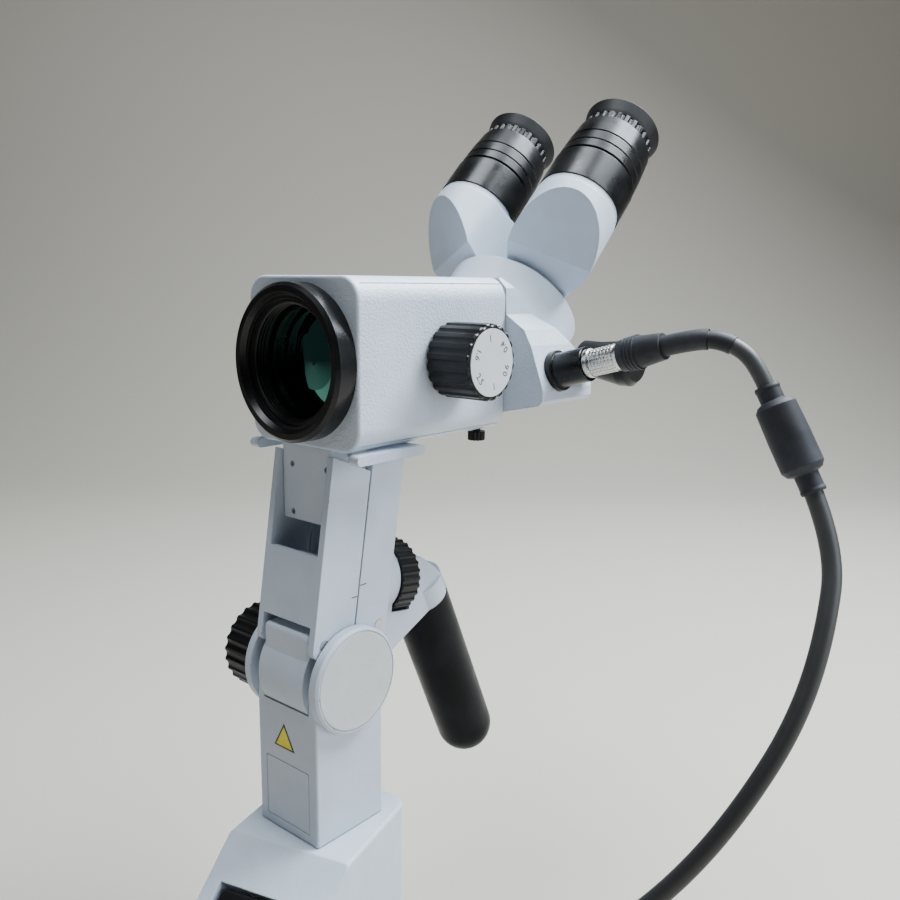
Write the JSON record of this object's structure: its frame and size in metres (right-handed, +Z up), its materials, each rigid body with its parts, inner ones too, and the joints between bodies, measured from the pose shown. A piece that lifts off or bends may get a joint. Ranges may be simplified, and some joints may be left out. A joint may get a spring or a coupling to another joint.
{
  "type": "binocular examination microscope head",
  "caption": "Binocular examination microscope head on a fine-focus parallelogram arm with tilt joint, swivelling pillar, handle and looped supply hose.",
  "frame": {"origin": "centre of the column socket's mouth on the underside of the stand head", "axes": "+Z up, the objective looks along -Y, +X towards the magnification dial"},
  "size_m": [0.2641, 0.3003, 0.4786],
  "materials": {
    "body_paint": "fine textured powder coat, satin",
    "dark_metal": "matt dark coat",
    "bright_steel": "turned, bright",
    "bronze": "machined",
    "plain_aluminium": "machined",
    "black_anodised": "satin black anodised",
    "knob_plastic": "satin moulded black",
    "grip_plastic": "fine textured black",
    "dial_face": "satin light grey with printed numbers",
    "soft_rubber": "matt black",
    "cable_sheath": "matt black with a grey bloom",
    "plated_metal": "knurled nickel plate",
    "coated_glass": "multi-coated, green-blue reflection",
    "clear_glass": "polished",
    "mirror_glass": "front-silvered"
  },
  "bodies": {
    "stand_head": {"housing_shell": "body_paint", "housing_base_plate": "dark_metal", "swivel_bearing": "bronze", "power_supply": "dark_metal", "hose_gland": "soft_rubber"},
    "release_paddle": {"release_paddle": "knob_plastic"},
    "pillar": {"pillar": "body_paint", "pillar_spindle": "bright_steel", "label_panel": "body_paint", "tilt_cover_disc": "body_paint", "tilt_shaft": "bright_steel"},
    "tilt_clamp": {"tilt_clamp_knob": "knob_plastic"},
    "tilt_knuckle": {"tilt_base": "body_paint", "lower_pivot_pins": "bright_steel"},
    "front_link": {"front_link": "body_paint", "focus_rack": "bronze"},
    "rear_link": {"rear_link": "body_paint", "handle_bracket": "body_paint", "handle_grip": "grip_plastic"},
    "focus_drive": {"focus_shaft": "bright_steel", "focus_wheel": "knob_plastic"},
    "head": {"head_carrier": "body_paint", "mount_plate": "body_paint", "upper_pivot_pins": "bright_steel", "head_casing": "body_paint", "objective_ring": "black_anodised", "lens_cell": "black_anodised", "objective_lens": "coated_glass", "deflection_mirror": "mirror_glass", "lamp_module": "dark_metal", "rear_casting": "body_paint", "cable_socket": "black_anodised", "tube_base": "body_paint", "plug": "plated_metal", "plug_boot": "soft_rubber", "thin_cable": "cable_sheath", "cable_choke": "soft_rubber", "hose": "cable_sheath"},
    "magnification_changer": {"magnification_drum": "plain_aluminium", "changer_lenses": "coated_glass", "magnification_knob": "knob_plastic", "magnification_dial": "dial_face", "left_drum_knob": "knob_plastic"},
    "filter_knob": {"filter_knob": "knob_plastic"},
    "clamp_screw": {"rear_clamp_screw": "knob_plastic"},
    "tube_left": {"tube_housing_left": "body_paint", "prism_left": "clear_glass", "eyepiece_left": "black_anodised"},
    "diopter_left": {"diopter_ring_left": "black_anodised", "eye_lens_left": "clear_glass", "eyecup_left": "soft_rubber"},
    "tube_right": {"tube_housing_right": "body_paint", "prism_right": "clear_glass", "eyepiece_right": "black_anodised"},
    "diopter_right": {"diopter_ring_right": "black_anodised", "eye_lens_right": "clear_glass", "eyecup_right": "soft_rubber"}
  },
  "joints": [
    {"name": "pillar_swivel", "type": "hinge", "parent": "stand_head", "child": "pillar", "pos_m": [0, 0, 0.118], "axis": [0, 0, 1], "range_deg": [-40, 40]},
    {"name": "tilt", "type": "hinge", "parent": "pillar", "child": "tilt_knuckle", "pos_m": [0, 0, 0.196], "axis": [1, 0, 0], "range_deg": [-25, 25], "deforming": ["hose"]},
    {"name": "tilt_clamp", "type": "hinge", "parent": "pillar", "child": "tilt_clamp", "pos_m": [-0.036, 0, 0.196], "axis": [-1, 0, 0], "range_deg": [-90, 0]},
    {"name": "release_press", "type": "hinge", "parent": "stand_head", "child": "release_paddle", "pos_m": [0.01655, -0.05771, 0.08873], "axis": [0.9613, 0.2756, 0], "range_deg": [-11, 0], "stiffness_Nm_per_rad": 0.05},
    {"name": "focus_swing", "type": "hinge", "parent": "tilt_knuckle", "child": "front_link", "pos_m": [0, -0.0146, 0.216], "axis": [1, 0, 0], "range_deg": [-3, 21]},
    {"name": "rear_link_swing", "type": "hinge", "parent": "tilt_knuckle", "child": "rear_link", "pos_m": [0, 0.02, 0.216], "axis": [1, 0, 0], "range_deg": [-3, 21]},
    {"name": "head_level", "type": "hinge", "parent": "front_link", "child": "head", "pos_m": [0, -0.00318, 0.2881], "axis": [1, 0, 0], "range_deg": [-21, 3]},
    {"name": "focus_wheel_turn", "type": "hinge", "parent": "rear_link", "child": "focus_drive", "pos_m": [0, 0.03845, 0.2313], "axis": [0, -0.9877, 0.1564], "range_deg": [-17.6, 121.5]},
    {"name": "magnification_turn", "type": "hinge", "parent": "head", "child": "magnification_changer", "pos_m": [0, 0.0521, 0.342], "axis": [1, 0, 0], "continuous": true},
    {"name": "filter_turn", "type": "hinge", "parent": "head", "child": "filter_knob", "pos_m": [0.048, 0.131, 0.3403], "axis": [0.9986, 0, -0.0523], "range_deg": [0, 90]},
    {"name": "clamp_screw_turn", "type": "hinge", "parent": "head", "child": "clamp_screw", "pos_m": [0.027, 0.084, 0.302], "axis": [0, 0, 1], "range_deg": [-180, 180]},
    {"name": "eye_spacing_left", "type": "hinge", "parent": "head", "child": "tube_left", "pos_m": [-0.0115, 0.14584, 0.36534], "axis": [0, -0.7071, -0.7071], "range_deg": [-16, 5]},
    {"name": "diopter_left", "type": "hinge", "parent": "tube_left", "child": "diopter_left", "pos_m": [-0.0351, 0.2034, 0.46334], "axis": [0, 0.7071, 0.7071], "range_deg": [-120, 120]},
    {"name": "eye_spacing_right", "type": "hinge", "parent": "head", "child": "tube_right", "pos_m": [0.0115, 0.14584, 0.36534], "axis": [0, 0.7071, 0.7071], "range_deg": [-16, 5]},
    {"name": "diopter_right", "type": "hinge", "parent": "tube_right", "child": "diopter_right", "pos_m": [0.0351, 0.2034, 0.46334], "axis": [0, 0.7071, 0.7071], "range_deg": [-120, 120]}
  ],
  "couplings": [
    {"joint": "rear_link_swing", "follows": "focus_swing", "ratio": 1},
    {"joint": "head_level", "follows": "focus_swing", "ratio": -1},
    {"joint": "focus_wheel_turn", "follows": "focus_swing", "ratio": 5.7667},
    {"joint": "eye_spacing_right", "follows": "eye_spacing_left", "ratio": 1}
  ]
}
